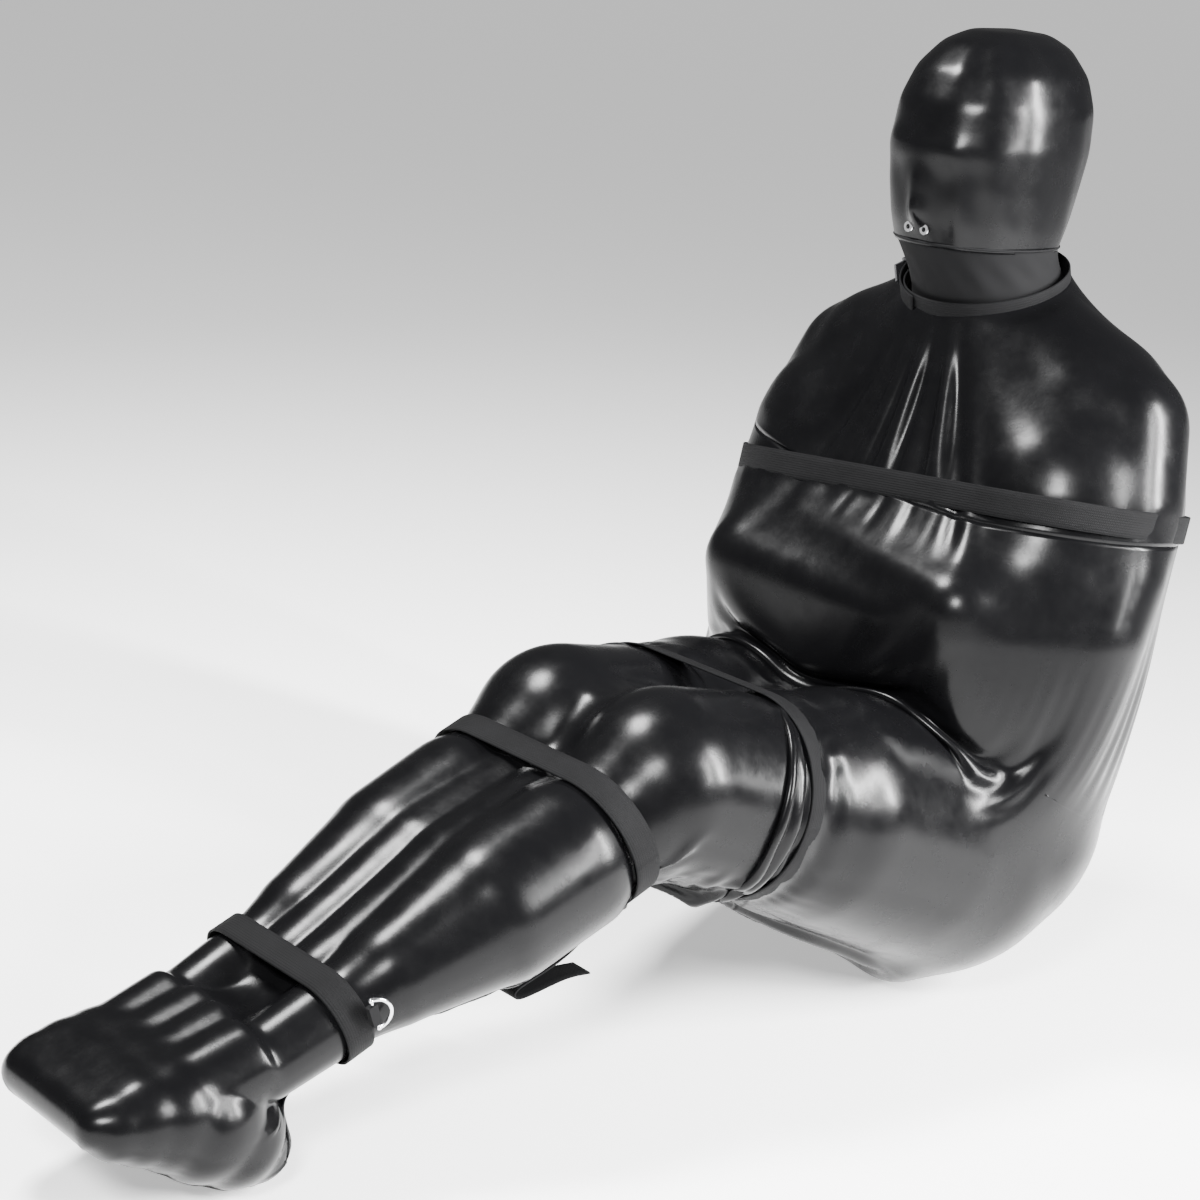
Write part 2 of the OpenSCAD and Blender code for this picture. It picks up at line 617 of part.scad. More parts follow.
// The free end of the knee strap: a flat band through [centre, half width direction] rows
tail_w = 24;
tail_t = 1.8;
edge_on = [0.7, -0.66, 0.27];
tail_rows = [
    [[48, -423, 166], [0.9, 0, 0.3]], [[50, -412, 162], edge_on], [[50, -399, 159], edge_on],
    [[49, -391, 152], edge_on], [[48, -391, 144], edge_on], [[46, -401, 140], edge_on],
    [[43, -414, 137], edge_on], [[39, -427, 128], [0.9, -0.3, 0]], [[36, -442, 116], [1, 0, 0]],
    [[35, -460, 106], [1, 0, 0]], [[35, -484, 99], [1, 0, 0]], [[35, -500, 94], [1, 0, 0]],
    [[35, -504, 89], [1, 0, 0]], [[35, -497, 85], [1, 0, 0]], [[35, -470, 89], [1, 0, 0]],
    [[35, -444, 93], [1, 0, 0]], [[36, -420, 91], [1, 0, 0]]];
function unit(v) = v / norm(v);
function tail_point(i) = let (n = len(tail_rows), c = tail_rows[i][0],
    run = unit(tail_rows[min(i + 1, n - 1)][0] - tail_rows[max(i - 1, 0)][0]),
    w0 = tail_rows[i][1], w = unit(w0 - run * (w0 * run)), t = cross(run, w))
    [for (q = [[-1, -1], [1, -1], [1, 1], [-1, 1]]) c + w * q[0] * tail_w / 2 + t * q[1] * tail_t / 2];
module knee_strap_tail() {
    n = len(tail_rows);
    pts = [for (i = [0 : n - 1]) for (p = tail_point(i)) p];
    sides = [for (i = [0 : n - 2], j = [0 : 3]) let (a = 4 * i + j, b = 4 * i + (j + 1) % 4)
        for (f = [[a, a + 4, b + 4], [a, b + 4, b]]) f];
    ends = [[0, 1, 2], [0, 2, 3], [4 * n - 4, 4 * n - 2, 4 * n - 3], [4 * n - 4, 4 * n - 1, 4 * n - 2]];
    color(webbing_colour) polyhedron(pts, concat(sides, ends));
}

// ---- ankle ring: a D-ring whose straight bar turns in a webbing keeper on the ankle strap ----
ring_wire = 1.6;
ring_half = 13;
ring_rest = 18;      // the ring stands this far off the shin
keeper_h = 12;
keeper_s = ankle_strap_s - strap_w / 2 - 1;
keeper_x = lookup(keeper_s, column(shin_rows, 1)) + lookup(keeper_s, column(shin_rows, 2))
    + strap_clear + strap_t + 3;
module ring_frame() {
    place(above(shin_phi), -ahead(shin_phi), -[1, 0, 0],
        at(knee, shin_phi, keeper_s, keeper_h, keeper_x)) children();
}
module ring_keeper() {
    color(webbing_colour) ring_frame() difference() {
        translate([-9, -5, -2.6]) cube([18, 8, 5.2]);
        translate([-10, 0, 0]) rotate([0, 90, 0]) cylinder(r = ring_wire + 0.06, h = 20, $fn = curve_fn);
    }
}
module ankle_ring() {
    color(steel_colour) ring_frame() rotate([-ring_rest, 0, 0]) {
        translate([-ring_half, 0, 0]) rotate([0, 90, 0])
            cylinder(r = ring_wire, h = 2 * ring_half, $fn = curve_fn);
        for (x = [-ring_half, ring_half]) translate([x, 0, 0]) sphere(r = ring_wire + 0.5, $fn = curve_fn);
        rotate_extrude(angle = 180, $fn = curve_fn) translate([ring_half, 0])
            circle(r = ring_wire, $fn = 24);
    }
}

// ---- back zip ----
zip_low = 184;
zip_high = 282;
zip_rest = 270;      // the slider is closed, just under the chest strap
module on_back(s) { behind(hip, trunk_phi, s, back_h + 0.2, 0) children(); }
module back_zip() {
    length = zip_high - zip_low;
    color(webbing_colour) on_back(zip_low) {
        translate([-14, 0, 0]) cube([28, length, 0.8]);
        translate([-2.8, 4, 0.7]) cube([5.6, length - 8, 1.9]);
    }
}
module zip_slider() {
    color(steel_colour) on_back(zip_rest) difference() {
        union() {
            translate([-5.5, -8, 1.1]) cube([11, 16, 4]);
            translate([-1.6, -6, 4.9]) cube([3.2, 12, 3.6]);
        }
        translate([-3.1, -9, 0]) cube([6.2, 18, 2.9]);
        translate([-3, 0, 6.6]) rotate([0, 90, 0]) cylinder(r = 1.05, h = 6, $fn = curve_fn);
    }
}
module zip_pull() {
    // It hangs plumb from the slider's bridge
    color(steel_colour) on_back(zip_rest) translate([0, 0, 6.6]) rotate([-trunk_lean, 0, 0]) {
        translate([-4, 0, 0]) rotate([0, 90, 0]) cylinder(r = 1, h = 8, $fn = curve_fn);
        for (x = [-5, 3]) translate([x, -12, -0.9]) cube([2, 12.6, 1.8]);
        translate([-5, -38, -0.9]) cube([10, 27, 1.8]);
    }
}

torso_fill();
hip_fill();
arm_fill(1, left_arm);  // arm_fill_left
arm_fill(-1, right_arm);  // arm_fill_right
torso_cover();
seat_cover();
spine_tube();
pelvis_frame();
shoulder_bar();
color(steel_colour) pins_at(hip, pelvis_x);  // hip_pins
color(steel_colour) washers_at(hip, pelvis_x);  // hip_washers
chest_strap();
color(buckle_colour) chest_at() buckle_frame(strap_w);  // chest_buckle
color(buckle_colour) chest_at() buckle_lever(strap_w);  // chest_buckle_lever
collar_strap();
color(buckle_colour) collar_at() buckle_frame(collar_w);  // collar_buckle
color(buckle_colour) collar_at() buckle_lever(collar_w);  // collar_buckle_lever
back_zip();
zip_slider();
zip_pull();
neck_post();
nod_pin();
head_fill();
head_lug();
hood_cover();
hood_chin_panel();
nose_eyelets();
thigh_fill(1);  // thigh_fill_left
thigh_fill(-1);  // thigh_fill_right
thigh_cover();
color(steel_colour) link(hip, knee, thigh_x);  // thigh_link_left
color(steel_colour) mirror([1, 0, 0]) link(hip, knee, thigh_x);  // thigh_link_right
color(steel_colour) pins_at(knee, thigh_x);  // knee_pins
color(steel_colour) washers_at(knee, thigh_x);  // knee_washers
leg_strap(hip, thigh_rise, thigh_rows, thigh_strap_s, thigh_strap_w);  // thigh_strap
color(buckle_colour) thigh_at() buckle_frame(thigh_strap_w);  // thigh_buckle
color(buckle_colour) thigh_at() buckle_lever(thigh_strap_w);  // thigh_buckle_lever
shin_fill(1);  // shin_fill_left
shin_fill(-1);  // shin_fill_right
shin_cover();
color(steel_colour) link(knee, ankle, shin_x);  // shin_link_left
color(steel_colour) mirror([1, 0, 0]) link(knee, ankle, shin_x);  // shin_link_right
color(steel_colour) pins_at(ankle, shin_x);  // ankle_pins
color(steel_colour) washers_at(ankle, shin_x);  // ankle_washers
leg_strap(knee, shin_phi, shin_rows, knee_strap_s, strap_w, knee_cinch);  // knee_strap
color(buckle_colour) knee_at() buckle_frame(strap_w);  // knee_buckle
color(buckle_colour) knee_at() buckle_lever(strap_w);  // knee_buckle_lever
knee_strap_tail();
leg_strap(knee, shin_phi, shin_rows, ankle_strap_s, strap_w);  // ankle_strap
color(buckle_colour) ankle_at() buckle_frame(strap_w);  // ankle_buckle
color(buckle_colour) ankle_at() buckle_lever(strap_w);  // ankle_buckle_lever
ring_keeper();
ankle_ring();
foot_fill(1);  // foot_fill_left
foot_fill(-1);  // foot_fill_right
foot_cover();
foot_plate(1);  // foot_plate_left
foot_plate(-1);  // foot_plate_right
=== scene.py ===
"""Grappling dummy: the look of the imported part. Places are worked out in millimetres and made in metres."""
import json
import math

import bmesh
import bpy
import numpy as np
from mathutils import Matrix, Vector


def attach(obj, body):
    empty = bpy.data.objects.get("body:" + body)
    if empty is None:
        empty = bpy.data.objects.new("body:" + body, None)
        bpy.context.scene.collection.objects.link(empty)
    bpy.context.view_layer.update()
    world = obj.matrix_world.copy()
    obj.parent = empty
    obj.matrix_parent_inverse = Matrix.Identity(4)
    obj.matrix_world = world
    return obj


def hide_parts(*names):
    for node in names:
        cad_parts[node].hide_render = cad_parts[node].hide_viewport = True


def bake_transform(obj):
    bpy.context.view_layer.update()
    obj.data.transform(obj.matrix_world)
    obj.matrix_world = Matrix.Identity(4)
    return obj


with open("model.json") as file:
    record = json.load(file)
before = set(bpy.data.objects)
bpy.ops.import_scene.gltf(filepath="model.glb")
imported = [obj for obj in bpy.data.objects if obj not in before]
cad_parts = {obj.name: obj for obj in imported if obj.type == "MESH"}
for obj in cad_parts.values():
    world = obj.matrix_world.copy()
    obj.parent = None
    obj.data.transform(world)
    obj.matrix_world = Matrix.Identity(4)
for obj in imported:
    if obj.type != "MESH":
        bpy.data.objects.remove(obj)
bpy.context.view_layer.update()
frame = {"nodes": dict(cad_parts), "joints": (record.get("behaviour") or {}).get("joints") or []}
MM = 0.001
JOINTS = {j["name"]: j for j in frame["joints"]}
HIP = np.array(JOINTS["hip_bend"]["pos_m"]) / MM
KNEE = np.array(JOINTS["knee_bend"]["pos_m"]) / MM
ANKLE = np.array(JOINTS["ankle_flex"]["pos_m"]) / MM
NECK = np.array(JOINTS["neck_turn"]["pos_m"]) / MM
# how far each limb points up from straight ahead, in degrees
TRUNK, THIGH, SHIN, FOOT = 100.0, 15.0, -22.0, 21.0
NECK_TILT = 72.0


# ------------------------------------------------------------------ camera and light
CAMERA_AIM = Vector((0, -0.405, 0.404))
CAMERA_FAR = 1.99
FLOOR_REACH = 300


def make_camera():
    az, el, roll = math.radians(46.0), math.radians(16.0), math.radians(5.5)
    back = Vector((math.sin(az) * math.cos(el), -math.cos(az) * math.cos(el), math.sin(el)))
    right = Vector((math.cos(az), math.sin(az), 0))
    up = back.cross(right)
    r2 = right * math.cos(roll) + up * math.sin(roll)
    u2 = up * math.cos(roll) - right * math.sin(roll)
    cam = bpy.data.objects.new("camera", bpy.data.cameras.new("camera"))
    cam.data.lens = 72.3
    cam.data.sensor_width = 36
    place = CAMERA_AIM + back * CAMERA_FAR
    m = Matrix((r2, u2, back)).transposed().to_4x4()
    m.translation = place
    cam.matrix_world = m
    bpy.context.scene.collection.objects.link(cam)
    bpy.context.scene.camera = cam


def soft_box(name, place, aim, size, power):
    lamp = bpy.data.lights.new(name, "AREA")
    lamp.shape = "RECTANGLE"
    lamp.size, lamp.size_y = size
    lamp.energy = power
    lamp.spread = math.radians(120)
    ob = bpy.data.objects.new(name, lamp)
    ob.location = place
    ob.rotation_euler = (Vector(aim) - Vector(place)).to_track_quat("-Z", "Y").to_euler()
    bpy.context.scene.collection.objects.link(ob)


def make_studio():
    world = bpy.data.worlds.new("studio")
    bpy.context.scene.world = world
    world.use_nodes = True
    bg = world.node_tree.nodes["Background"]
    bg.inputs["Color"].default_value = (1, 1, 1, 1)
    bg.inputs["Strength"].default_value = 0.12
    soft_box("key_strip", (1.9, 0.75, 1.35), (0.1, 0.0, 0.45), (0.16, 1.3), 150)
    soft_box("key_strip_two", (2.1, 0.2, 1.3), (0.1, 0.0, 0.45), (0.09, 1.1), 45)
    soft_box("front_box", (1.3, -2.3, 1.9), (0.0, -0.35, 0.3), (0.55, 0.55), 80)
    soft_box("top_box", (-0.9, -1.0, 2.4), (0.0, -0.4, 0.2), (0.7, 0.55), 95)
    verts = [(x * FLOOR_REACH, y * FLOOR_REACH, 0) for x, y in ((-1, -1), (1, -1), (1, 1), (-1, 1))]
    me = bpy.data.meshes.new("floor")
    me.from_pydata(verts, [], [(0, 1, 2, 3)])
    floor = bpy.data.objects.new("floor", me)
    bpy.context.scene.collection.objects.link(floor)
    mat, _, b = new_material("floor")
    b.inputs["Base Color"].default_value = (0.93, 0.93, 0.93, 1)
    b.inputs["Roughness"].default_value = 0.9
    b.inputs["Specular IOR Level"].default_value = 0.1
    b.inputs["Emission Color"].default_value = (1, 1, 1, 1)
    b.inputs["Emission Strength"].default_value = 0.62
    me.materials.append(mat)


# ------------------------------------------------------------------ directions and places
def ahead(phi):
    a = math.radians(phi)
    return np.array([0.0, -math.cos(a), math.sin(a)])


def above(phi):
    a = math.radians(phi)
    return np.array([0.0, math.sin(a), math.cos(a)])


def at(o, phi, s, h=0.0, x=0.0):
    return o + ahead(phi) * s + above(phi) * h + np.array([x, 0.0, 0.0])


def trunk(s, h=0.0, x=0.0):
    return at(HIP, TRUNK, s, h, x)


def thigh(s, h=0.0, x=0.0):
    return at(HIP, THIGH, s, h, x)


def shin(s, h=0.0, x=0.0):
    return at(KNEE, SHIN, s, h, x)


def foot(s, h=0.0, x=0.0):
    return at(ANKLE, FOOT, s, h, x)


# ------------------------------------------------------------------ the stuffed body: tapered capsules
def body_form():
    """Capsules: two ends, a radius at each, and the zones of cloth that can touch them.

    The zones are 0 trunk, 1 hip, 2 thigh, 3 shin and 4 foot.
    """
    caps = []

    def both(a, b, ra, rb, zone):
        for side in (-1, 1):
            m = np.array([side, 1.0, 1.0])
            caps.append((a * m, b * m, ra, rb, zone))

    # the feet are one pillow: distance, height, radius and half width
    for s, h, r, w in (
        (-22, -64, 30, 50),
        (0, -58, 40, 50),
        (30, -49, 47, 47),
        (60, -47, 43, 45),
        (86, -52, 35, 48),
        (108, -58, 26, 52),
        (122, -60, 19, 50),
    ):
        caps.append((foot(s, h, -w), foot(s, h, w), r, r, (4,)))
    # ankles, shins and knees
    both(shin(372, 4, 54), foot(50, -32, 46), 31, 34, (4,))
    both(shin(417, 0, 52), shin(367, 0, 54), 30, 32, (3, 4))
    both(shin(367, 0, 54), shin(333, 0, 55), 32, 32, (3, 4))
    both(shin(333, 0, 55), shin(290, 0, 57), 32, 42, (3,))
    both(shin(290, 0, 57), shin(190, -3, 60), 42, 63, (3,))
    both(shin(190, -3, 60), shin(116, -3, 62), 63, 64, (3,))
    both(shin(116, -3, 62), shin(97, 0, 62), 64, 55, (3,))
    both(shin(97, 0, 62), shin(63, 0, 62), 55, 56, (2, 3))
    both(shin(63, 0, 62), shin(30, 0, 63), 56, 68, (2, 3))
    both(shin(30, 0, 63), shin(0, 2, 64), 68, 78, (2, 3))
    # thighs
    both(thigh(388, 2, 64), thigh(320, 0, 68), 79, 86, (2, 3))
    both(thigh(320, 0, 68), thigh(309, 0, 70), 86, 84, (2,))
    both(thigh(309, 0, 70), thigh(283, 0, 72), 84, 87, (2,))
    both(thigh(283, 0, 72), thigh(260, 0, 75), 87, 95, (2,))
    both(thigh(260, 0, 75), thigh(200, 0, 82), 94, 105, (2,))
    both(thigh(200, 0, 82), thigh(90, -10, 88), 105, 116, (1, 2))
    # seat, trunk and shoulders
    both(thigh(24, -4, 64), trunk(36, 6, 62), 147, 140, (0, 1, 2))
    both(trunk(20, 4, 70), trunk(150, -20, 88), 144, 122, (0, 1))
    both(trunk(150, -20, 92), trunk(250, -15, 116), 122, 114, (0, 1))
    both(trunk(250, -15, 116), trunk(284, -10, 121), 114, 108, (0, 1))
    both(trunk(284, -10, 121), trunk(320, -6, 121), 108, 107, (0, 1))
    both(trunk(258, -14, 30), trunk(320, -6, 30), 112, 106, (0, 1))
    both(trunk(320, -6, 121), trunk(394, 2, 112), 108, 84, (0,))
    both(trunk(320, -6, 30), trunk(410, 0, 30), 108, 84, (0,))
    both(trunk(398, 2, 98), NECK + np.array([14.0, 0, -14]), 78, 58, (0,))
    # the legs are packed round, so the cloth bridges the hollow between them
    both(shin(372, 4, 16), foot(50, -32, 16), 30, 34, (4,))
    both(shin(330, 2, 18), shin(290, 0, 20), 31, 38, (3,))
    both(shin(290, 0, 20), shin(190, -2, 22), 38, 57, (3,))
    both(shin(190, -2, 22), shin(97, 0, 22), 57, 52, (3,))
    # folded arms
    both(trunk(396, 0, 156), trunk(326, -8, 176), 60, 60, (0,))
    both(trunk(326, -8, 176), trunk(274, -12, 182), 57, 54, (0, 1))
    both(trunk(268, -14, 184), trunk(216, -26, 190), 56, 54, (0, 1))
    both(trunk(212, -30, 192), trunk(198, -124, 124), 50, 44, (0, 1))
    caps.append((trunk(194, -126, -124), trunk(190, -136, 60), 44, 36, (0, 1)))
    caps.append((trunk(212, -126, 124), trunk(240, -112, -70), 44, 33, (0, 1)))
    return caps


# how far slack cloth is drawn towards the body in a round, in each zone
CLING = np.array([0.0, 0.0, 0.04, 0.20, 0.14])


def push_out(p, caps, zone):
    """Moves points out of the capsules that their zone can touch, and draws slack cloth towards them."""
    best = np.full(len(p), 1e9)
    push = np.zeros_like(p)
    for a, b, ra, rb, zones in caps:
        idx = np.nonzero(np.isin(zone, zones))[0]
        q = p[idx]
        d = b - a
        t = np.clip(((q - a) @ d) / (d @ d), 0, 1)
        v = q - (a + t[:, None] * d)
        n = np.sqrt((v * v).sum(1)) + 1e-9
        gap = n - (ra + (rb - ra) * t)
        closer = gap < best[idx]
        sel = idx[closer]
        best[sel] = gap[closer]
        g = gap[closer]
        move = np.where(g < 0, -g, -np.minimum(CLING[zone[sel]], g * 0.1))
        push[sel] = v[closer] * (move / n[closer])[:, None]
    p += push


# ------------------------------------------------------------------ the sewn tube round it
# rows: place, travel direction, half spacing, side radius, top radius, bottom radius, slack, zone
def control_rows():
    return [
        (NECK + np.array([0, -1.0, 6.0]), -108, 0, 73.5, 73.5, 73.5, 1.00, 0),
        (NECK + np.array([0, 3.0, -10.0]), -106, 4, 74, 75, 74, 1.00, 0),
        (trunk(462, -30), -100, 34, 77, 78, 78, 1.01, 0),
        (trunk(446, -14), -90, 80, 84, 84, 84, 1.01, 0),
        (trunk(416, -4), -82, 112, 96, 98, 96, 1.01, 0),
        (trunk(376, -2), -80, 118, 108, 108, 106, 1.01, 0),
        (trunk(330, -4), -80, 119, 118, 114, 112, 1.005, 0),
        (trunk(295, -8), -80, 119, 119, 118, 116, 1.00, 0),
        (trunk(260, -14), -80, 121, 124, 124, 120, 1.005, 0),
        (trunk(205, -28), -80, 122, 134, 138, 130, 1.02, 1),
        (trunk(168, -22), -76, 114, 132, 136, 130, 1.05, 1),
        (trunk(122, 0), -64, 98, 118, 126, 134, 1.04, 1),
        (at(HIP, 70, 66), -44, 92, 110, 106, 190, 1.01, 1),
        (at(HIP, 44, 76), -18, 90, 106, 106, 188, 1.00, 1),
        (thigh(112, 6), 4, 88, 108, 108, 134, 1.00, 2),
        (thigh(160, 2), 15, 85, 110, 110, 112, 1.01, 2),
        (thigh(205, 0), 15, 82, 108, 107, 107, 1.02, 2),
        (thigh(250, 0), 15, 76, 99, 98, 98, 1.03, 2),
        (thigh(300, 0), 15, 70, 92, 91, 91, 1.04, 2),
        (thigh(350, 0), 10, 65, 88, 89, 86, 1.03, 2),
        (thigh(388, -2), -3, 63, 84, 88, 78, 1.05, 2),
        (shin(46, 0), -18, 62, 73, 76, 68, 1.08, 3),
        (shin(78, 0), -22, 62, 68, 68, 62, 1.12, 3),
        (shin(125, 0), -22, 62, 72, 70, 71, 1.14, 3),
        (shin(170, 0), -22, 62, 73, 72, 73, 1.14, 3),
        (shin(210, 0), -22, 61, 69, 68, 70, 1.15, 3),
        (shin(270, 0), -22, 59, 56, 55, 57, 1.20, 3),
        (shin(330, 0), -22, 57, 44, 43, 44, 1.24, 3),
        (shin(368, 0), -20, 56, 40, 39, 42, 1.24, 3),
        (shin(404, -2), -8, 55, 42, 38, 56, 1.20, 4),
        (foot(2, -12), 8, 52, 47, 38, 76, 1.12, 4),
        (foot(36, -32), 18, 48, 50, 42, 54, 1.08, 4),
        (foot(70, -45), 21, 46, 51, 38, 43, 1.05, 4),
        (foot(104, -54), 21, 45, 49, 30, 33, 1.03, 4),
        (foot(128, -58), 21, 45, 42, 20, 22, 1.00, 4),
        (foot(142, -60), 21, 44, 34, 9, 10, 0.99, 4),
        (foot(148, -60), 21, 42, 30, 2, 2, 0.98, 4),
    ]


def smooth(v, times):
    """Evens out the inner values of v, in place."""
    for _ in range(times):
        v[1:-1] = (v[:-2] + 2 * v[1:-1] + v[2:]) / 4


def sample(values, place):
    return np.interp(place, np.arange(len(values)), values)


# bends travel further round the outside, at about this radius, so they get more rows
BEND_RADIUS = 150
# the control rows are smoothed over about this length
SMOOTH_LENGTH = 60


def build_tube(cols, spacing):
    """The tube before it is relaxed: points, and each row's way round, slack and zone."""
    rows = control_rows()
    centre = np.array([r[0] for r in rows])
    step = np.linalg.norm(np.diff(centre, axis=0), axis=1)
    turn = np.abs(np.diff([r[1] for r in rows]))
    step = np.maximum(step, np.radians(turn) * BEND_RADIUS)
    run = np.concatenate([[0], np.cumsum(step)])
    n = int(run[-1] / spacing)
    where = np.interp(np.linspace(0, run[-1], n), run, np.arange(len(rows)))
    o = np.stack([sample(centre[:, k], where) for k in range(3)], 1)
    psi, off, rx, top, bottom, slack = [sample([r[k] for r in rows], where) for k in range(1, 7)]
    zone = np.array([rows[min(int(round(w)), len(rows) - 1)][7] for w in where])

    for v in (o, psi, off, rx, top, bottom, slack):
        smooth(v, max(3, int(SMOOTH_LENGTH / spacing)))
    t = (np.arange(cols) + 0.5) / cols
    p = np.zeros((n, cols, 3))
    perimeter = np.zeros(n)
    for i in range(n):
        # even spacing round two half rounds that are joined by straight sides
        a = np.linspace(0, 2 * math.pi, 721)
        cx, sx = np.cos(a), np.sin(a)
        x = rx[i] * cx + off[i] * np.sign(cx) * np.minimum(1, np.abs(cx) * 40)
        h = np.where(sx > 0, top[i], bottom[i]) * sx
        arc = np.concatenate([[0], np.cumsum(np.hypot(np.diff(x), np.diff(h)))])
        perimeter[i] = arc[-1]
        want = t * arc[-1]
        xs, hs = np.interp(want, arc, x), np.interp(want, arc, h)
        up = above(psi[i])
        p[i] = o[i] + np.outer(hs, up)
        p[i, :, 0] += xs
    return p, perimeter, slack, zone


# name: limb, its start, distance, width, tilt, half spacing, side radius, height radius, centre height
STRAPS = {
    "chest_strap": (TRUNK, HIP, 300, 25, 0.09, 116, 117.5, 116.5, -8),
    "thigh_strap": (THIGH, HIP, 296, 25, 0.0, 70.5, 90.4, 90.0, 0),
    "knee_strap": (SHIN, KNEE, 80, 25, 0.0, 62, 65.8, 60.8, 0),
    "ankle_strap": (SHIN, KNEE, 350, 25, 0.0, 54.5, 36.9, 36.9, 0),
}


# how far outside a strap's ring, and beside its edge, cloth is still held by it
STRAP_REACH, STRAP_SIDE = 70, 16


def squeeze(p, tight):
    """Holds the cloth inside each cinched strap. It is loose at 0 and closed at 1."""
    for phi, o, s, w, tilt, off, rx, rh, hc in STRAPS.values():
        d, up = ahead(phi), above(phi)
        q = p - o
        along = q @ d - tilt * q[:, 0]
        h = q @ up - hc
        past = np.abs(along - s) - w / 2 - 3
        near = (past < STRAP_SIDE) & (np.abs(h) < rh + STRAP_REACH)
        near &= np.abs(q[:, 0]) < off + rx + STRAP_REACH
        if not near.any():
            continue
        x = q[near, 0]
        ex = np.sign(x) * np.maximum(np.abs(x) - off, 0) / rx
        eh = h[near] / rh
        m = np.sqrt(ex * ex + eh * eh) + 1e-9
        # beside the strap the cloth may rise away from it, but not over its edge
        grow = 1 + (1 - tight) * 0.18 + np.maximum(past[near], 0) * 1.5 / rh
        cut = np.maximum(m - grow, 0) / m
        p[near, 0] -= ex * rx * cut
        p[near] -= np.outer(eh * rh * cut, up)


# the share of its last move that a point keeps, the most it moves in a round, and its gap to the floor
KEEP_MOVE, MOST_MOVE, FLOOR_GAP = 0.92, 4.0, 0.8


def relax(p, rest_h, rest_v, zone, caps, rounds, gravity, squeeze_in, first_twin):
    """Lets the cloth settle. rest_h and rest_v are its lengths round and along.

    At the toe seam, column j is sewn to column first_twin - j.
    """
    n, m, _ = p.shape
    twin = (first_twin - np.arange(m)) % m
    z = np.repeat(zone, m)
    rest_d = np.sqrt(rest_h[:-1] ** 2 + rest_v**2)
    old = p.copy()
    fixed = p[:2].copy()

    def pull(a, b, rest, k_short, k_long):
        d = b - a
        length = np.sqrt((d * d).sum(-1)) + 1e-9
        err = (length - rest) / length
        k = np.where(err > 0, k_long, k_short)
        return d * (0.5 * k * err)[..., None]

    for it in range(rounds):
        move = (p - old) * KEEP_MOVE
        size = np.sqrt((move * move).sum(-1, keepdims=True)) + 1e-9
        move *= np.minimum(1, MOST_MOVE / size)
        old = p.copy()
        p = p + move
        p[..., 2] -= gravity
        for k in (0, 1):
            a, b = p[:, k::2], np.roll(p, -1, 1)[:, k::2]
            c = pull(a, b, rest_h[:, k::2], 0.9, 1.0)
            p[:, k::2] += c
            back = np.roll(p, -1, 1)
            back[:, k::2] -= c
            p = np.roll(back, 1, 1)
            a, b = p[k:-1:2], p[k + 1 :: 2]
            c = pull(a, b, rest_v[k::2], 0.9, 1.0)
            p[k:-1:2] += c
            p[k + 1 :: 2] -= c
            for way in (-1, 1):
                a, b = p[k:-1:2], np.roll(p[k + 1 :: 2], way, 1)
                c = pull(a, b, rest_d[k::2], 0.12, 0.25)
                p[k:-1:2] += c
                p[k + 1 :: 2] -= np.roll(c, -way, 1)
            # bending: neighbours two apart push away when the cloth folds sharply
            a, b = p, np.roll(p, -2, 1)
            c = pull(a, b, rest_h * 1.9, 0.05, 0.0)
            p = p + c - np.roll(c, 2, 1)
            a, b = p[:-2], p[2:]
            c = pull(a, b, (rest_v[:-1] + rest_v[1:]) * 0.95, 0.05, 0.0)
            p[:-2] += c
            p[2:] -= c
        flat = p.reshape(-1, 3)
        push_out(flat, caps, z)
        squeeze(flat, min(1.0, squeeze_in + it / (0.4 * rounds)))
        np.maximum(flat[:, 2], FLOOR_GAP, out=flat[:, 2])
        p = flat.reshape(n, m, 3)
        p[:2] = fixed
        # the toe seam: the top edge is sewn to the bottom edge
        shut = (p[-1] + p[-1, twin]) / 2
        p[-1] = shut + (p[-1] - shut) * 0.02
    return p


def finer(p):
    """The same tube with four times the quads."""
    n, m, _ = p.shape
    q = np.zeros((2 * n - 1, 2 * m, 3))
    side = (p + np.roll(p, -1, 1)) / 2
    q[::2, ::2], q[::2, 1::2] = p, side
    q[1::2, ::2] = (p[:-1] + p[1:]) / 2
    q[1::2, 1::2] = (side[:-1] + side[1:]) / 2
    return q


def gathers(p, o, phi, s, spread, count, size, seed):
    """Starts folds that run lengthwise away from a cinch. The solver then grows or flattens them."""
    rng = np.random.default_rng(seed)
    n, m, _ = p.shape
    mid = p.mean(1)
    along = (mid - o) @ ahead(phi)
    away = np.linalg.norm(mid - (o + ahead(phi) * s), axis=1)
    fade = np.exp(-((away / spread) ** 2)) * (away < 3 * spread)
    angle = np.arange(m) / m * 2 * math.pi
    wave = np.zeros((n, m))
    for k in range(count - 6, count + 7, 2):
        phase = rng.uniform(0, 6.28)
        drift = rng.normal(0, 0.006)
        wave += np.sin(angle[None, :] * k + phase + (along[:, None] - s) * drift)
    wave /= 2.6
    out = p - mid[:, None, :]
    out /= np.linalg.norm(out, axis=2, keepdims=True) + 1e-9
    p += out * (wave * fade[:, None] * size)[..., None]


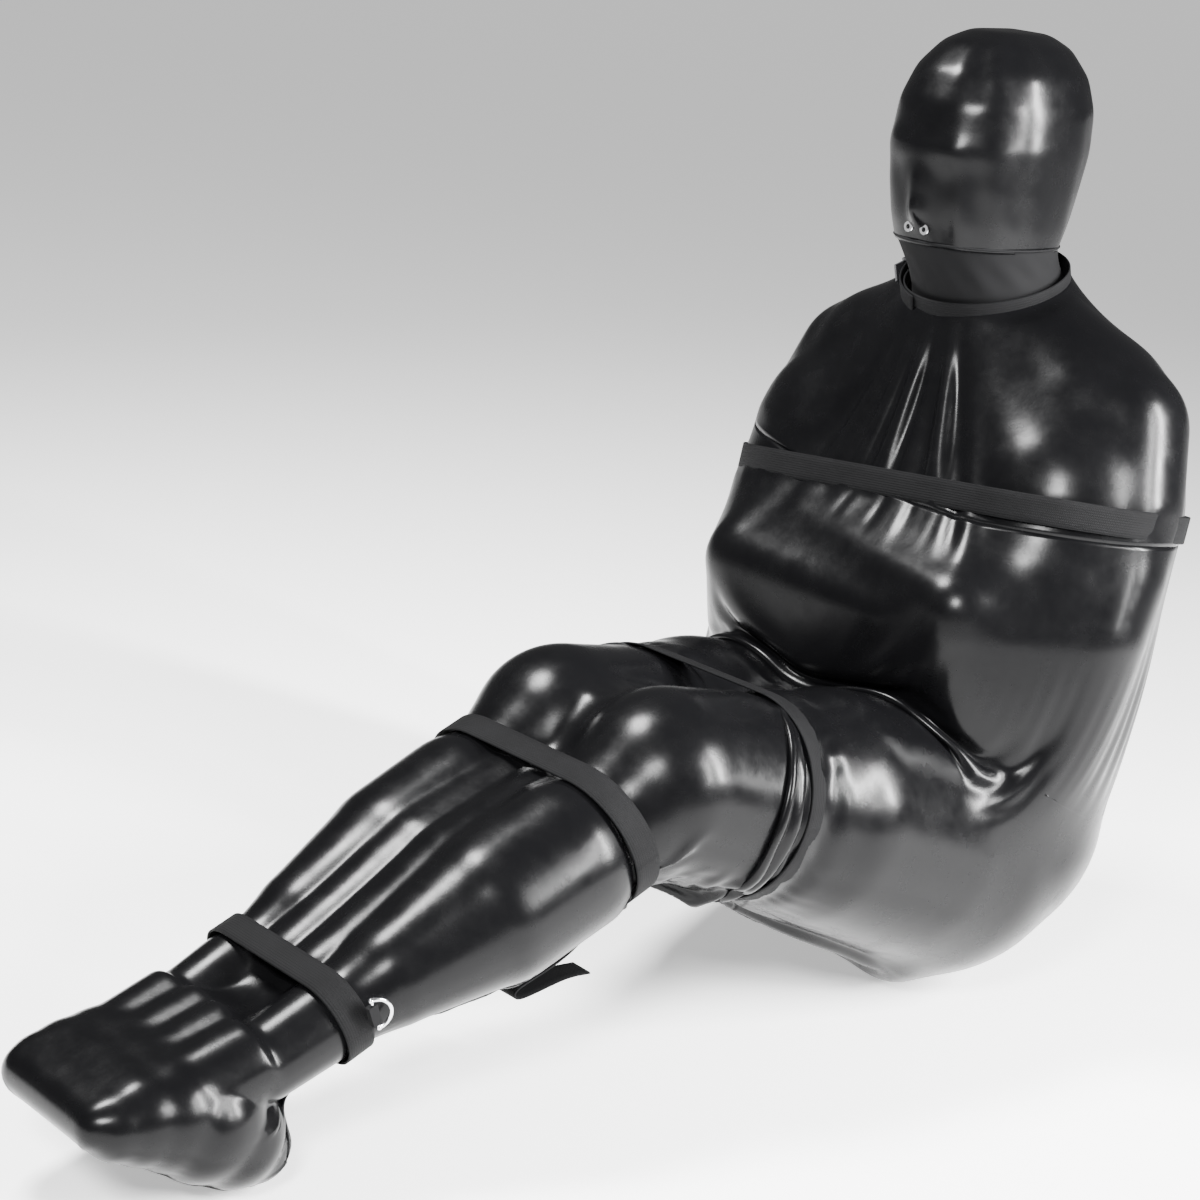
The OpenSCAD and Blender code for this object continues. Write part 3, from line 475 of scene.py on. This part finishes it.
def lay_under_zip(p):
    """The cloth lies flat under the zip tape, and rises again beside it."""
    tape = np.array([tuple(v.co) for v in frame["nodes"]["back_zip"].data.vertices]) / MM - HIP
    low, high = (tape @ ahead(TRUNK)).min(), (tape @ ahead(TRUNK)).max()
    half, under = np.abs(tape[:, 0]).max(), (tape @ above(TRUNK)).min()
    q = p - HIP
    s, h = q @ ahead(TRUNK), q @ above(TRUNK)
    beside = np.maximum(np.abs(q[:, 0]) - half - 8, 0)
    past = np.maximum(np.maximum(low - 12 - s, s - high - 12), 0)
    excess = np.where(h > 0, np.maximum(h - (under - 0.8 + beside * 0.5 + past * 0.3), 0), 0)
    p -= np.outer(excess, above(TRUNK))


# the trunk cover is cut this much short, so it is drawn tight over the chest
CHEST_PULL = 0.955


def sew_body():
    """The whole cover below the neck, as rows of points from the collar to the toes."""
    cols, spacing = ((88, 14.5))
    p, perimeter, slack, zone = build_tube(cols, spacing)
    n = len(p)
    rest_h = np.repeat((perimeter * slack / cols)[:, None], cols, 1)
    geo = np.linalg.norm(np.diff(p, axis=0), axis=2)
    longest = geo.max(1, keepdims=True)
    rest_v = geo * 1.01 + 0.10 * (longest - geo)
    rest_v *= np.where(zone[:-1] == 0, CHEST_PULL, 1.0)[:, None]
    caps = body_form()
    p = relax(p, rest_h, rest_v, zone, caps, 120, 0.03, 0.0, cols - 1)
    p = finer(p)
    zone2 = np.repeat(zone, 2)[:-1]
    rest_h2 = np.zeros((2 * n - 1, 2 * cols))
    rest_h2[::2] = np.repeat(rest_h, 2, 1) / 2
    rest_h2[1::2] = (rest_h2[:-2:2] + rest_h2[2::2]) / 2
    rest_v2 = np.repeat(np.repeat(rest_v, 2, 0), 2, 1) / 2
    p[2:] += np.random.default_rng(7).normal(0, 0.5, p[2:].shape)
    gathers(p, KNEE, SHIN, 350, 75, 27, 7.0, 3)
    gathers(p, KNEE, SHIN, 80, 60, 33, 4.5, 5)
    gathers(p, HIP, THIGH, 296, 45, 31, 1.2, 8)
    p = relax(p, rest_h2, rest_v2, zone2, caps, 230, 0.02, 0.7, 2 * cols - 2)
    soft = p.copy()
    soft[1:-1] = p[1:-1] * 0.6 + 0.1 * (np.roll(p, 1, 1) + np.roll(p, -1, 1))[1:-1] + 0.1 * (p[:-2] + p[2:])
    flat = soft.reshape(-1, 3)
    squeeze(flat, 1.0)
    lay_under_zip(flat)
    return flat.reshape(p.shape)


# ------------------------------------------------------------------ meshes
# the webbing's thickness, and how far its rings stand off the cinched cloth
WEB_THICK, STRAP_PROUD = 1.9, 0.8


def mesh_object(name, verts, faces, uv=None):
    me = bpy.data.meshes.new(name)
    me.from_pydata([tuple(v) for v in np.asarray(verts) * MM], [], faces)
    if uv is not None:
        layer = me.uv_layers.new(name="run")
        loops = np.zeros(len(me.loops), int)
        me.loops.foreach_get("vertex_index", loops)
        layer.data.foreach_set("uv", np.asarray(uv, float)[loops].ravel())
    me.update()
    me.polygons.foreach_set("use_smooth", [True] * len(me.polygons))
    ob = bpy.data.objects.new(name, me)
    bpy.context.scene.collection.objects.link(ob)
    return ob


def apply_modifiers(ob):
    dg = bpy.context.evaluated_depsgraph_get()
    me = bpy.data.meshes.new_from_object(ob.evaluated_get(dg))
    ob.modifiers.clear()
    ob.data = me


def thicken(ob, material, thick):
    """One subdivision, then a real thickness on the inside."""
    sub = ob.modifiers.new("round", "SUBSURF")
    sub.levels = sub.render_levels = 1
    apply_modifiers(ob)
    solid = ob.modifiers.new("thick", "SOLIDIFY")
    solid.thickness = thick * MM
    solid.offset = -1
    apply_modifiers(ob)
    ob.data.polygons.foreach_set("use_smooth", [True] * len(ob.data.polygons))
    ob.data.materials.clear()
    ob.data.materials.append(material)
    return ob


def skin_piece(name, p, first, last, closed_end=False):
    """The rows of the cover from first to last, as one sewn piece of vinyl."""
    part = p[first : last + 1]
    n, m, _ = part.shape
    faces = [
        (i * m + j, (i + 1) * m + j, (i + 1) * m + (j + 1) % m, i * m + (j + 1) % m)
        for i in range(n - 1)
        for j in range(m)
    ]
    if closed_end:
        # the toe seam joins the top row to the bottom row
        e = (n - 1) * m
        top = [e + m - 1] + [e + j for j in range(m // 2)]
        low = [e + m - 1 - j for j in range(m // 2 + 1)]
        for j in range(m // 2):
            face = [top[j], low[j], low[j + 1], top[j + 1]]
            faces.append(tuple(dict.fromkeys(face)))
    return thicken(mesh_object(name, part.reshape(-1, 3), faces), VINYL, 1.0)


def run_of(pts, closed):
    """The unit direction in which a line of points runs, at each point."""
    nxt, prv = np.roll(pts, -1, 0), np.roll(pts, 1, 0)
    if not closed:
        nxt[-1], prv[0] = pts[-1], pts[0]
    run = nxt - prv
    return run / (np.linalg.norm(run, axis=1)[:, None] + 1e-9)


def seam_mesh(pts, radius, sides, lean, closed):
    """A round seam along pts, with its section turned by lean, a direction that it never runs along."""
    pts = np.asarray(pts, float)
    n, m = len(pts), sides
    run = run_of(pts, closed)
    side = np.cross(run, lean)
    side /= np.linalg.norm(side, axis=1)[:, None]
    up = np.cross(side, run)
    a = (np.arange(m) / m * 2 * math.pi)[None, :, None]
    verts = pts[:, None, :] + radius * (np.cos(a) * side[:, None, :] + np.sin(a) * up[:, None, :])
    faces = [
        (i * m + j, i * m + (j + 1) % m, (i + 1) % n * m + (j + 1) % m, (i + 1) % n * m + j)
        for i in range(n if closed else n - 1)
        for j in range(m)
    ]
    if not closed:
        faces += [tuple(range(m))[::-1], tuple((n - 1) * m + j for j in range(m))]
    return verts.reshape(-1, 3), faces


def sew_seam(ob, pts, radius):
    """Adds a raised seam to a skin's own mesh, so that it moves with it."""
    seam_verts, seam_faces = seam_mesh(pts, radius, 6, (0.31, 0.22, 0.92), False)
    bm = bmesh.new()
    bm.from_mesh(ob.data)
    verts = [bm.verts.new(tuple(v * MM)) for v in seam_verts]
    for f in seam_faces:
        bm.faces.new([verts[k] for k in f]).smooth = True
    bm.to_mesh(ob.data)
    bm.free()


def row_near(p, o, phi, s):
    """The row whose mean place is nearest to distance s along a limb."""
    d = ahead(phi)
    mean = p.mean(1)
    along = (mean - o) @ d
    away = np.linalg.norm(mean - (o + d * s), axis=1)
    return int(np.argmin(np.abs(along - s) + 0.3 * away))


def band(name, ring, across, width, thick, closed=True):
    """A webbing band: ring is its middle line on the body side, across is the direction of its width."""
    ring = np.asarray(ring, float)
    n = len(ring)
    run = run_of(ring, closed)
    across = np.broadcast_to(np.asarray(across, float), ring.shape)
    across = across - run * (across * run).sum(1)[:, None]
    across = across / (np.linalg.norm(across, axis=1)[:, None] + 1e-9)
    out = np.cross(run, across)
    w, t = width / 2, thick
    e = min(0.7, t * 0.35)
    # the inner face, one edge, the outer face and the other edge
    profile = [(-w + e, 0), (-w * 0.5, 0.0), (0, 0), (w * 0.5, 0), (w - e, 0)]
    profile += [(w, e), (w, t - e)]
    profile += [(w - e, t), (w - 2.2, t), (w * 0.5, t), (0, t), (-w * 0.5, t), (-w + 2.2, t), (-w + e, t)]
    profile += [(-w, t - e), (-w, e)]
    m = len(profile)
    verts, uv = [], []
    length = np.concatenate([[0], np.cumsum(np.linalg.norm(np.diff(ring, axis=0), axis=1))])
    for i in range(n):
        for a, b in profile:
            verts.append(ring[i] + across[i] * a + out[i] * b)
            uv.append((length[i], a))
    faces = []
    for i in range(n if closed else n - 1):
        k = (i + 1) % n
        for j in range(m):
            q = (j + 1) % m
            faces.append((i * m + j, i * m + q, k * m + q, k * m + j))
    if not closed:
        faces.append(tuple(range(m))[::-1])
        faces.append(tuple((n - 1) * m + j for j in range(m)))
    ob = mesh_object(name, verts, faces, uv)
    ob.data.materials.append(WEB)
    return ob


def stadium(off, rx, rh, count=180):
    """Points spaced evenly round two half circles that are joined by straight sides."""
    a = np.linspace(0, 2 * math.pi, 1441)
    cx, sx = np.cos(a), np.sin(a)
    x = rx * cx + off * np.sign(cx) * np.minimum(1, np.abs(cx) * 60)
    h = rh * sx
    arc = np.concatenate([[0], np.cumsum(np.hypot(np.diff(x), np.diff(h)))])
    want = np.arange(count) / count * arc[-1]
    return np.interp(want, arc, x), np.interp(want, arc, h)


# ------------------------------------------------------------------ materials
def new_material(name):
    mat = bpy.data.materials.new(name)
    mat.use_nodes = True
    nt = mat.node_tree
    return mat, nt, nt.nodes["Principled BSDF"]


def noise(nt, scale, detail=3.0, rough=0.5):
    n = nt.nodes.new("ShaderNodeTexNoise")
    n.inputs["Scale"].default_value = scale
    n.inputs["Detail"].default_value = detail
    n.inputs["Roughness"].default_value = rough
    co = nt.nodes.new("ShaderNodeTexCoord")
    nt.links.new(co.outputs["Object"], n.inputs["Vector"])
    return n.outputs["Fac"]


def ramp(nt, fac, low, high):
    """Spreads a noise's middle values over low to high."""
    r = nt.nodes.new("ShaderNodeMapRange")
    r.inputs["To Min"].default_value = low
    r.inputs["To Max"].default_value = high
    r.inputs["From Min"].default_value = 0.3
    r.inputs["From Max"].default_value = 0.7
    nt.links.new(fac, r.inputs["Value"])
    return r.outputs["Result"]


def mix_colour(nt, fac, a, b):
    m = nt.nodes.new("ShaderNodeMix")
    m.data_type = "RGBA"
    m.inputs[6].default_value = (*a, 1)
    m.inputs[7].default_value = (*b, 1)
    nt.links.new(fac, m.inputs[0])
    return m.outputs[2]


def bump(nt, height, strength, distance, onto=None):
    b = nt.nodes.new("ShaderNodeBump")
    b.inputs["Strength"].default_value = strength
    b.inputs["Distance"].default_value = distance
    nt.links.new(height, b.inputs["Height"])
    if onto is not None:
        nt.links.new(onto, b.inputs["Normal"])
    return b.outputs["Normal"]


def vinyl():
    mat, nt, b = new_material("wet_look_vinyl")
    big = noise(nt, 5.0, 2.0)
    fine = noise(nt, 420.0, 2.0)
    crease = noise(nt, 46.0, 4.0, 0.6)
    black = mix_colour(nt, big, (0.0012, 0.0012, 0.0014), (0.003, 0.003, 0.0033))
    nt.links.new(black, b.inputs["Base Color"])
    nt.links.new(ramp(nt, crease, 0.2, 0.3), b.inputs["Roughness"])
    b.inputs["IOR"].default_value = 1.22
    n1 = bump(nt, crease, 0.10, 0.0015)
    nt.links.new(bump(nt, fine, 0.12, 0.0002, n1), b.inputs["Normal"])
    return mat


def matte_cloth():
    mat, nt, b = new_material("matte_knit")
    fine = noise(nt, 900.0, 2.0)
    big = noise(nt, 9.0, 2.0)
    nt.links.new(mix_colour(nt, big, (0.003, 0.003, 0.0032), (0.006, 0.006, 0.0065)), b.inputs["Base Color"])
    b.inputs["Roughness"].default_value = 0.8
    b.inputs["Specular IOR Level"].default_value = 0.1
    nt.links.new(bump(nt, fine, 0.5, 0.0003), b.inputs["Normal"])
    return mat


# the webbing's weave, in millimetres
RIB_PITCH, PICK_PITCH = 2.2, 1.6


def webbing():
    mat, nt, b = new_material("woven_webbing")
    uvn = nt.nodes.new("ShaderNodeUVMap")
    uvn.uv_map = "run"
    sep = nt.nodes.new("ShaderNodeSeparateXYZ")
    nt.links.new(uvn.outputs["UV"], sep.inputs["Vector"])

    def maths(operation, a, b=None):
        m = nt.nodes.new("ShaderNodeMath")
        m.operation = operation
        nt.links.new(a, m.inputs[0])
        if isinstance(b, float):
            m.inputs[1].default_value = b
        elif b is not None:
            nt.links.new(b, m.inputs[1])
        return m.outputs[0]

    # ribs run along the webbing, and the picks cross them at a slant
    ribs = maths("SINE", maths("MULTIPLY", sep.outputs["Y"], 2 * math.pi / RIB_PITCH))
    slant = maths("MULTIPLY", ribs, 1.5)
    picks = maths("SINE", maths("ADD", maths("MULTIPLY", sep.outputs["X"], 2 * math.pi / PICK_PITCH), slant))
    weave = maths("ADD", ribs, picks)
    wear = noise(nt, 30.0, 3.0)
    nt.links.new(mix_colour(nt, wear, (0.002, 0.002, 0.0022), (0.005, 0.005, 0.0054)), b.inputs["Base Color"])
    b.inputs["Roughness"].default_value = 0.7
    b.inputs["Specular IOR Level"].default_value = 0.08
    nt.links.new(bump(nt, weave, 0.45, 0.0003), b.inputs["Normal"])
    return mat


def metal(name, colour, rough):
    mat, nt, b = new_material(name)
    fine = noise(nt, 260.0, 4.0, 0.6)
    nt.links.new(mix_colour(nt, fine, tuple(c * 0.8 for c in colour), colour), b.inputs["Base Color"])
    b.inputs["Metallic"].default_value = 1.0
    nt.links.new(ramp(nt, fine, rough, rough + 0.08), b.inputs["Roughness"])
    nt.links.new(bump(nt, fine, 0.08, 0.0001), b.inputs["Normal"])
    return mat


def moulded(name, colour, rough):
    mat, nt, b = new_material(name)
    fine = noise(nt, 700.0, 3.0, 0.6)
    nt.links.new(mix_colour(nt, fine, tuple(c * 0.7 for c in colour), colour), b.inputs["Base Color"])
    nt.links.new(ramp(nt, fine, rough - 0.06, rough + 0.06), b.inputs["Roughness"])
    nt.links.new(bump(nt, fine, 0.3, 0.0002), b.inputs["Normal"])
    return mat


# ------------------------------------------------------------------ hood, chin panel and collar
# the hood over a plain, faceless head: height, centre, half width and half depth
HOOD = np.array(
    [
        [690, 27, 66, 82],
        [712, 26, 71, 88],
        [745, 26, 76, 94],
        [780, 28, 80, 97],
        [815, 30, 78, 95],
        [845, 32, 68, 84],
        [868, 34, 50, 64],
        [879, 35, 30, 40],
        [881.5, 35, 2, 3],
    ],
    float,
)


def hood_surface(cols=128, rows=84):
    """Rows of points from the chin seam to the crown."""
    t = np.linspace(0, 1, rows)
    run = np.concatenate([[0], np.cumsum(np.hypot(np.diff(HOOD[:, 0]), np.diff(HOOD[:, 3])))])
    run /= run[-1]
    table = np.stack([np.interp(t, run, HOOD[:, k]) for k in range(4)], 1)
    smooth(table, 6)
    a = np.arange(cols) / cols * 2 * math.pi
    face = np.maximum(0, -np.sin(a))
    pts = np.zeros((rows, cols, 3))
    for i, (z, cy, hw, hd) in enumerate(table):
        u = np.sign(np.cos(a)) * np.abs(np.cos(a)) ** 0.94
        v = np.sign(np.sin(a)) * np.abs(np.sin(a)) ** 0.94
        x, y = hw * u, cy + hd * v
        front = face**2
        # a short nose and its bridge, a shallow hollow on either side and a low brow
        nose = 8.0 * np.exp(-((x / 8.0) ** 2)) * np.exp(-(((z - 720) / 12.0) ** 2)) * front
        bridge = 4.0 * np.exp(-((x / 9.0) ** 2)) * np.exp(-(((z - 742) / 18.0) ** 2)) * front
        hollow = 3.0 * np.exp(-(((np.abs(x) - 30) / 15.0) ** 2)) * np.exp(-(((z - 748) / 16.0) ** 2)) * front
        brow = 2.5 * np.exp(-(((z - 775) / 12.0) ** 2)) * front
        # stretch folds at the sides and the back
        pull = 1.6 * np.sin(a * 13 + z * 0.03) * np.exp(-(((np.cos(a) - 0.55) / 0.45) ** 2))
        pull *= np.exp(-(((z - 735) / 45.0) ** 2)) + 0.6 * np.exp(-(((z - 850) / 26.0) ** 2))
        back = 1.2 * np.sin(a * 17 - z * 0.02) * np.maximum(0, np.sin(a)) ** 2
        out = nose + bridge - hollow + brow + (pull + back) * 1.1
        pts[i, :, 0] = x + out * np.cos(a) * 0.6
        pts[i, :, 1] = y - out * (front + (1 - front) * -np.sin(a))
        pts[i, :, 2] = z
    return pts


def closed_grid(name, pts, material, thick, cap=False):
    """Rows of points that close on themselves, as a skin. A cap closes the last row."""
    n, m, _ = pts.shape
    faces = [
        (i * m + j, i * m + (j + 1) % m, (i + 1) * m + (j + 1) % m, (i + 1) * m + j)
        for i in range(n - 1)
        for j in range(m)
    ]
    if cap:
        faces.append(tuple((n - 1) * m + j for j in range(m)))
    return thicken(mesh_object(name, pts.reshape(-1, 3), faces), material, thick)


NOD_BALL = 70


def chin_surface(cols=96):
    """The panel from the stitched seam under the nose down into the collar, round the nod axis."""
    a = np.arange(cols) / cols * 2 * math.pi
    rows = []
    # a ball round the nod axis, which turns inside the collar
    for ang in (46, 38, 30, 22, 14, 7, 0):
        r = NOD_BALL * math.cos(math.radians(ang))
        down = -NOD_BALL * math.sin(math.radians(ang))
        rows.append([at(NECK, NECK_TILT, down, r * math.sin(q), r * math.cos(q)) for q in a])
    low = np.array([at(NECK, NECK_TILT, 8, 68.6 * math.sin(q), 68.6 * math.cos(q)) for q in a])
    top = np.array([[67.4 * math.cos(q), 27 + 83.4 * math.sin(q), 693.5] for q in a])
    for k in np.linspace(0, 1, 12):
        ease = k * k * (3 - 2 * k)
        mid = low * (1 - k) + top * k
        dent = 2.2 * math.sin(math.pi * k)
        wrinkle = 0.7 * np.sin(a * 15 + 5 * k) * math.sin(math.pi * ease)
        c = mid.mean(0)
        out = (mid - c) / np.linalg.norm(mid - c, axis=1)[:, None]
        rows.append(mid + out * (wrinkle - dent)[:, None])
    return np.array(rows)


def collar_point(angle, s, r):
    return at(NECK, NECK_TILT, s, r * math.sin(angle), r * math.cos(angle))


# ------------------------------------------------------------------ make it
make_camera()
make_studio()
VINYL, KNIT, WEB = vinyl(), matte_cloth(), webbing()
STEEL = metal("bright_steel", (0.8, 0.8, 0.82), 0.14)
ZIP_METAL = metal("zip_black", (0.05, 0.05, 0.055), 0.35)
BUCKLE = moulded("buckle_black", (0.02, 0.02, 0.022), 0.42)

# the cover, cut into pieces under the straps
tube = sew_body()
cut_chest, cut_thigh, cut_knee, cut_ankle = [
    row_near(tube, o, phi, s) for phi, o, s, *_ in STRAPS.values()
]

upper = skin_piece("trunk_skin", tube, 0, cut_chest)
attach(upper, "torso")
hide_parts("torso_cover", "torso_fill", "arm_fill_left", "arm_fill_right")
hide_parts("shoulder_bar", "spine_tube")
lap = skin_piece("lap_skin", tube, cut_chest, cut_thigh)
# a seam runs round the back of the seat, and one down each side of the trunk to it
cols = tube.shape[1]
seat_row = row_near(tube, HIP, 70, 66)
ring_cols = [(-k) % cols for k in range(-int(cols * 0.02), int(cols * 0.46))]
sew_seam(lap, tube[seat_row, ring_cols], 1.3)
side_col = int(cols * 0.92)
for turned in (side_col, (cols // 2 - side_col) % cols):
    sew_seam(lap, tube[cut_chest + 1 : seat_row, turned], 1.2)
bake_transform(lap)
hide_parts("seat_cover", "hip_fill", "pelvis_frame", "hip_pins", "hip_washers")
knees = skin_piece("knee_skin", tube, cut_thigh, cut_knee)
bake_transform(knees)
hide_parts("thigh_cover", "thigh_fill_left", "thigh_fill_right")
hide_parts("thigh_link_left", "thigh_link_right", "knee_pins", "knee_washers")
shins = skin_piece("shin_skin", tube, cut_knee, cut_ankle)
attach(shins, "shins")
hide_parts("shin_cover", "shin_fill_left", "shin_fill_right")
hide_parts("shin_link_left", "shin_link_right", "ankle_pins", "ankle_washers")
feet = skin_piece("foot_skin", tube, cut_ankle, len(tube) - 1, closed_end=True)
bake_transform(feet)
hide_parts("foot_cover", "foot_fill_left", "foot_fill_right", "foot_plate_left", "foot_plate_right")

# straps
for name, body in (
    ("chest_strap", "torso"),
    ("thigh_strap", "thighs"),
    ("knee_strap", "shins"),
    ("ankle_strap", "shins"),
):
    phi, o, s, w, tilt, off, rx, rh, hc = STRAPS[name]
    x, h = stadium(off, rx + STRAP_PROUD, rh + STRAP_PROUD)
    ring = np.array([at(o, phi, s + tilt * a, b + hc, a) for a, b in zip(x, h)])[::-1]
    strap = band(name + "_web", ring, ahead(phi), w, WEB_THICK)
    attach(strap, body)
    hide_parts(name)

# hood
hood = closed_grid("hood_skin", hood_surface(), VINYL, 1.2, cap=True)
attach(hood, "head")
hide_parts("hood_cover", "head_fill", "head_lug", "nod_pin")

# chin panel
chin = closed_grid("chin_panel", chin_surface(), KNIT, 1.0)
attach(chin, "head")
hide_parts("hood_chin_panel", "neck_post")


seam_a = np.arange(160) / 160 * 2 * math.pi
seam = np.array([[68.2 * math.cos(q), 27 + 84.2 * math.sin(q), 693.2] for q in seam_a])
hood_seam = mesh_object("hood_seam", *seam_mesh(seam, 1.1, 8, (0.3, 0.2, 1.0), True))
hood_seam.data.materials.append(KNIT)
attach(hood_seam, "head")


# collar: one webbing ring with a doubled end that stands up on the far side
ring_a = np.arange(120) / 120 * 2 * math.pi
collar = band("collar_web", [collar_point(q, 0, 76.4) for q in ring_a][::-1], ahead(NECK_TILT), 30, WEB_THICK)
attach(collar, "torso")
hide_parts("collar_strap")
end_a = np.radians(np.linspace(250, 196, 14))
end_r = np.linspace(79.2, 80.5, 14)
end_s = np.linspace(1, 7, 14)
end = [collar_point(q, d, r) for q, d, r in zip(end_a, end_s, end_r)]
tab = band("collar_tab", end, ahead(NECK_TILT), 26, WEB_THICK, closed=False)
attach(tab, "torso")

# the free tail of the knee strap: its middle line, and the direction of its width
tail_mid = np.array(
    [
        (48, -423, 166),
        (50, -412, 162),
        (50, -399, 159),
        (49, -391, 152),
        (48, -391, 144),
        (46, -401, 140),
        (43, -414, 137),
        (39, -427, 128),
        (36, -442, 116),
        (35, -460, 106),
        (35, -484, 99),
        (35, -500, 94),
        (35, -504, 89),
        (35, -497, 85),
        (35, -470, 89),
        (35, -444, 93),
        (36, -420, 91),
    ],
    float,
)
tail_dir = np.array([(0.9, 0, 0.3)] + [(0.7, -0.66, 0.27)] * 6 + [(0.9, -0.3, 0)] + [(1, 0, 0)] * 9, float)
k = np.linspace(0, len(tail_mid) - 1, 90)
tail_line = np.stack([sample(tail_mid[:, c], k) for c in range(3)], 1)
tail_across = np.stack([sample(tail_dir[:, c], k) for c in range(3)], 1)
smooth(tail_line, 8)
tail_web = band("knee_strap_tail_web", tail_line, tail_across, 24, 1.8, closed=False)
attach(tail_web, "shins")
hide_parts("knee_strap_tail")

# the CAD nodes that still show
looks = {
    "zip_slider": ZIP_METAL,
    "zip_pull": ZIP_METAL,
    "ankle_ring": STEEL,
    "nose_eyelets": STEEL,
    "back_zip": KNIT,
    "ring_keeper": KNIT,
}
for n, ob in frame["nodes"].items():
    if "buckle" in n:
        looks[n] = BUCKLE
    if n in looks:
        ob.data.materials.clear()
        ob.data.materials.append(looks[n])
